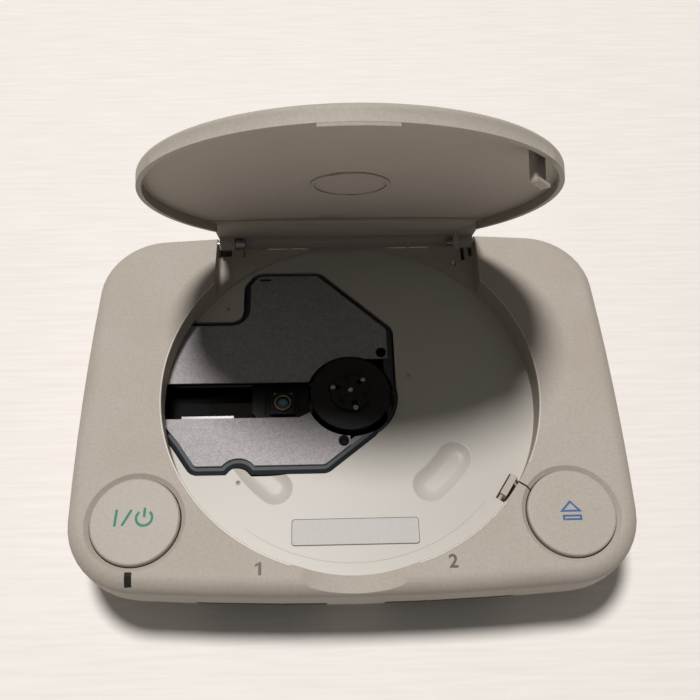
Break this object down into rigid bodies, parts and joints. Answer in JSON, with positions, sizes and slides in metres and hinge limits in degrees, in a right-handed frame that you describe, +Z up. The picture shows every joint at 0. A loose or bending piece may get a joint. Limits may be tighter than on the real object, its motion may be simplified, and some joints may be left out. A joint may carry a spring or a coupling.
{
  "type": "disc game console",
  "caption": "Small rounded light-grey home disc console with a round flip-up lid standing open over the disc well, round top buttons and front card and controller ports.",
  "frame": {"origin": "on the table, under the middle of the body", "axes": "+X to the right, +Y to the rear, +Z up"},
  "size_m": [0.193, 0.1446, 0.1529],
  "materials": {
    "case": "fine textured light grey",
    "steel": "satin",
    "black_steel": "black oxide",
    "cover": "speckled grey",
    "rubber": "matt",
    "led_window": "smoked",
    "label": "satin, bare",
    "black_plastic": "satin",
    "dark_plastic": "satin",
    "white_plastic": "satin",
    "lens": "polished",
    "flex": "amber film",
    "board": "solder mask",
    "contacts": "plated"
  },
  "bodies": {
    "console": {"upper_case": "case", "lower_case": "case", "case_screws": "steel", "rubber_feet": "rubber", "led_window": "led_window", "label_plate": "label", "hinge_pins": "steel", "hinge_spring": "steel", "power_spring": "steel", "open_spring": "steel", "latch_spring": "steel", "drive_chassis": "black_plastic", "drive_cover": "cover", "cover_screws": "black_steel", "spindle_motor": "steel", "guide_rails": "steel", "sled_motor": "steel", "drive_grommets": "rubber", "drive_screws": "steel", "drive_flex": "flex", "main_board": "board", "board_chips": "black_plastic", "capacitors": "black_plastic", "board_connectors": "white_plastic", "upper_shield": "steel", "lower_shield": "steel", "board_screws": "steel", "switch_board": "board", "power_switch": "black_plastic", "power_led": "led_window", "lid_switch": "black_plastic", "port_block_1": "dark_plastic", "port_block_2": "dark_plastic", "port_contacts": "contacts", "port_board": "board", "av_socket": "black_plastic", "dc_jack": "black_plastic"},
    "lid": {"lid": "case"},
    "power_key": {"power_button": "case"},
    "open_key": {"open_button": "case"},
    "latch": {"latch_slider": "case"},
    "disc_hub": {"spindle_shaft": "steel", "turntable": "black_plastic"},
    "ball_1": {"clamp_ball_1": "steel"},
    "ball_2": {"clamp_ball_2": "steel"},
    "ball_3": {"clamp_ball_3": "steel"},
    "sled": {"pickup_sled": "black_plastic", "sled_rack": "black_plastic"},
    "lens": {"lens_holder": "black_plastic", "objective_lens": "lens"},
    "gear": {"rack_gear": "white_plastic"},
    "pinion": {"motor_pinion": "white_plastic"},
    "plunger": {"switch_plunger": "white_plastic"},
    "door_1": {"card_door_1": "dark_plastic"},
    "door_2": {"card_door_2": "dark_plastic"}
  },
  "joints": [
    {"name": "lid_hinge", "type": "hinge", "parent": "console", "child": "lid", "pos_m": [0, 0.0672, 0.0308], "axis": [1, 0, 0], "range_deg": [0, 65.5], "stiffness_Nm_per_rad": 0.06, "springref_deg": -28.65, "deforming": ["hinge_spring"]},
    {"name": "power_press", "type": "slide", "parent": "console", "child": "power_key", "axis": [0, 0, -1], "range_m": [0, 0.0015], "stiffness_N_per_m": 400, "springref_m": -0.001, "deforming": ["power_spring"]},
    {"name": "open_press", "type": "slide", "parent": "console", "child": "open_key", "axis": [0, 0, -1], "range_m": [0, 0.0022], "stiffness_N_per_m": 400, "springref_m": -0.001, "deforming": ["open_spring", "latch_spring"]},
    {"name": "latch_slide", "type": "slide", "parent": "console", "child": "latch", "axis": [0.8274, -0.5616, 0], "range_m": [0, 0.00155]},
    {"name": "disc_spin", "type": "hinge", "parent": "console", "child": "disc_hub", "pos_m": [0, 0.002, 0.027], "axis": [0, 0, 1], "continuous": true},
    {"name": "ball_1_press", "type": "slide", "parent": "disc_hub", "child": "ball_1", "axis": [-0.7071, -0.7071, 0], "range_m": [0, 0.0005], "stiffness_N_per_m": 300, "springref_m": -0.0005},
    {"name": "ball_2_press", "type": "slide", "parent": "disc_hub", "child": "ball_2", "axis": [0.9659, -0.2588, 0], "range_m": [0, 0.0005], "stiffness_N_per_m": 300, "springref_m": -0.0005},
    {"name": "ball_3_press", "type": "slide", "parent": "disc_hub", "child": "ball_3", "axis": [-0.2588, 0.9659, 0], "range_m": [0, 0.0005], "stiffness_N_per_m": 300, "springref_m": -0.0005},
    {"name": "sled_slide", "type": "slide", "parent": "console", "child": "sled", "axis": [1, 0, 0], "range_m": [-0.033, 0.001]},
    {"name": "lens_focus", "type": "slide", "parent": "sled", "child": "lens", "axis": [0, 0, 1], "range_m": [-0.0004, 0.0004], "stiffness_N_per_m": 100},
    {"name": "gear_turn", "type": "hinge", "parent": "console", "child": "gear", "pos_m": [-0.028, 0.0193, 0.019], "axis": [0, 0, 1], "range_deg": [-480, 20]},
    {"name": "pinion_turn", "type": "hinge", "parent": "console", "child": "pinion", "pos_m": [-0.01991, 0.02518, 0.021], "axis": [0, 0, 1], "range_deg": [-60, 1900]},
    {"name": "plunger_press", "type": "slide", "parent": "console", "child": "plunger", "axis": [0, 0, -1], "range_m": [0, 0.0012], "stiffness_N_per_m": 150, "springref_m": -0.0005},
    {"name": "door_1_swing", "type": "hinge", "parent": "console", "child": "door_1", "pos_m": [-0.0314, -0.0655, 0.0191], "axis": [1, 0, 0], "range_deg": [0, 80], "stiffness_Nm_per_rad": 0.002, "springref_deg": -17.19},
    {"name": "door_2_swing", "type": "hinge", "parent": "console", "child": "door_2", "pos_m": [0.0314, -0.0655, 0.0191], "axis": [1, 0, 0], "range_deg": [0, 80], "stiffness_Nm_per_rad": 0.002, "springref_deg": -17.19}
  ],
  "couplings": [
    {"joint": "latch_slide", "follows": "open_press", "ratio": 0.7},
    {"joint": "gear_turn", "follows": "sled_slide", "rad_per_m": 250},
    {"joint": "pinion_turn", "follows": "sled_slide", "rad_per_m": -1000}
  ]
}
